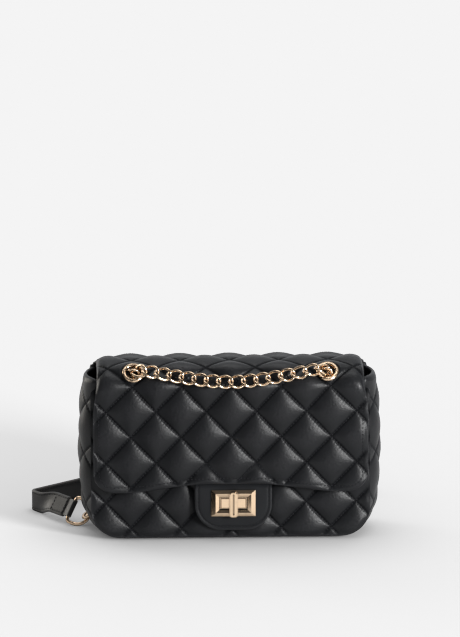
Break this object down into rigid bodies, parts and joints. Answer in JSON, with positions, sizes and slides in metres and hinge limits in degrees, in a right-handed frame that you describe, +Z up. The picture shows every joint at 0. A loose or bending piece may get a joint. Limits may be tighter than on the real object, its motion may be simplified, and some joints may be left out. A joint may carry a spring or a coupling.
{
  "type": "crossbody purse",
  "caption": "Small quilted flap purse with a turn-lock tab, a curb chain threaded through eyelets in the flap and back, and a leather shoulder strap.",
  "frame": {"origin": "centre of the flat base that the purse stands on, on the floor", "axes": "+X to the right as seen from the front, -Y out of the front face with the flap and lock, +Z up"},
  "size_m": [0.289, 0.1862, 0.1504],
  "materials": {
    "quilted_leather": "soft matte faux leather, quilted",
    "smooth_leather": "smooth matte faux leather",
    "strap_leather": "smooth matte faux leather",
    "lining_fabric": "woven lining",
    "stiff_board": "stiff pressed board",
    "pale_gold": "polished, plated pale gold",
    "plain_steel": "plain stamped steel"
  },
  "bodies": {
    "bag_body": {"front_panel": "quilted_leather", "back_panel": "quilted_leather", "lining": "lining_fabric", "gusset": "quilted_leather", "base_board": "stiff_board", "inner_pocket": "lining_fabric", "lock_base_plate": "pale_gold", "lock_backing_plate": "plain_steel", "detent_spring": "plain_steel", "back_eyelet_left": "pale_gold", "back_eyelet_right": "pale_gold", "back_eyelet_washer_left": "pale_gold", "back_eyelet_washer_right": "pale_gold", "back_eyelet_links_left": "pale_gold", "back_eyelet_links_right": "pale_gold"},
    "lock_bar": {"turn_bar": "pale_gold", "bar_retainer": "plain_steel"},
    "flap_top": {"flap_top_panel": "quilted_leather", "flap_top_lining": "lining_fabric", "flap_eyelet_left": "pale_gold", "flap_eyelet_right": "pale_gold", "flap_eyelet_washer_left": "pale_gold", "flap_eyelet_washer_right": "pale_gold", "flap_eyelet_link_left": "pale_gold", "flap_eyelet_link_right": "pale_gold", "chain_inner_left": "pale_gold", "chain_inner_right": "pale_gold"},
    "flap_front": {"flap_front_panel": "quilted_leather", "flap_front_lining": "lining_fabric", "flap_board": "stiff_board", "lock_tab_face": "smooth_leather", "lock_tab_back": "smooth_leather", "lock_frame": "pale_gold", "lock_frame_backing": "plain_steel", "lock_frame_screws": "plain_steel"},
    "front_chain": {"chain_front": "pale_gold"},
    "strap": {"strap_band": "strap_leather", "ring_loop_left": "strap_leather", "ring_loop_right": "strap_leather", "chain_tail_left": "pale_gold", "chain_tail_right": "pale_gold"},
    "ring_left": {"strap_ring_left": "pale_gold"},
    "ring_right": {"strap_ring_right": "pale_gold"}
  },
  "joints": [
    {"name": "lock_turn", "type": "hinge", "parent": "bag_body", "child": "lock_bar", "pos_m": [0.002, -0.03235, 0.033], "axis": [0, 0.9988, -0.0499], "range_deg": [0, 90]},
    {"name": "flap_lift", "type": "hinge", "parent": "bag_body", "child": "flap_top", "pos_m": [0, 0.019, 0.137], "axis": [-1, 0, 0], "range_deg": [0, 90]},
    {"name": "flap_fold", "type": "hinge", "parent": "flap_top", "child": "flap_front", "pos_m": [0, -0.0353, 0.12835], "axis": [-1, 0, 0], "range_deg": [0, 70]},
    {"name": "chain_swing", "type": "hinge", "parent": "flap_top", "child": "front_chain", "pos_m": [0, -0.02925, 0.14566], "axis": [-1, 0, 0], "range_deg": [0, 16]},
    {"name": "strap_swing", "type": "hinge", "parent": "bag_body", "child": "strap", "pos_m": [0, 0.0324, 0.1258], "axis": [1, 0, 0], "range_deg": [0, 100]},
    {"name": "ring_left_tilt", "type": "hinge", "parent": "strap", "child": "ring_left", "pos_m": [-0.131, 0.021, 0.0134], "axis": [-0.4298, -0.31, -0.848], "range_deg": [0, 10]},
    {"name": "ring_right_tilt", "type": "hinge", "parent": "strap", "child": "ring_right", "pos_m": [0.052, 0.084, 0.0134], "axis": [0, -0.5299, 0.848], "range_deg": [0, 5]}
  ]
}
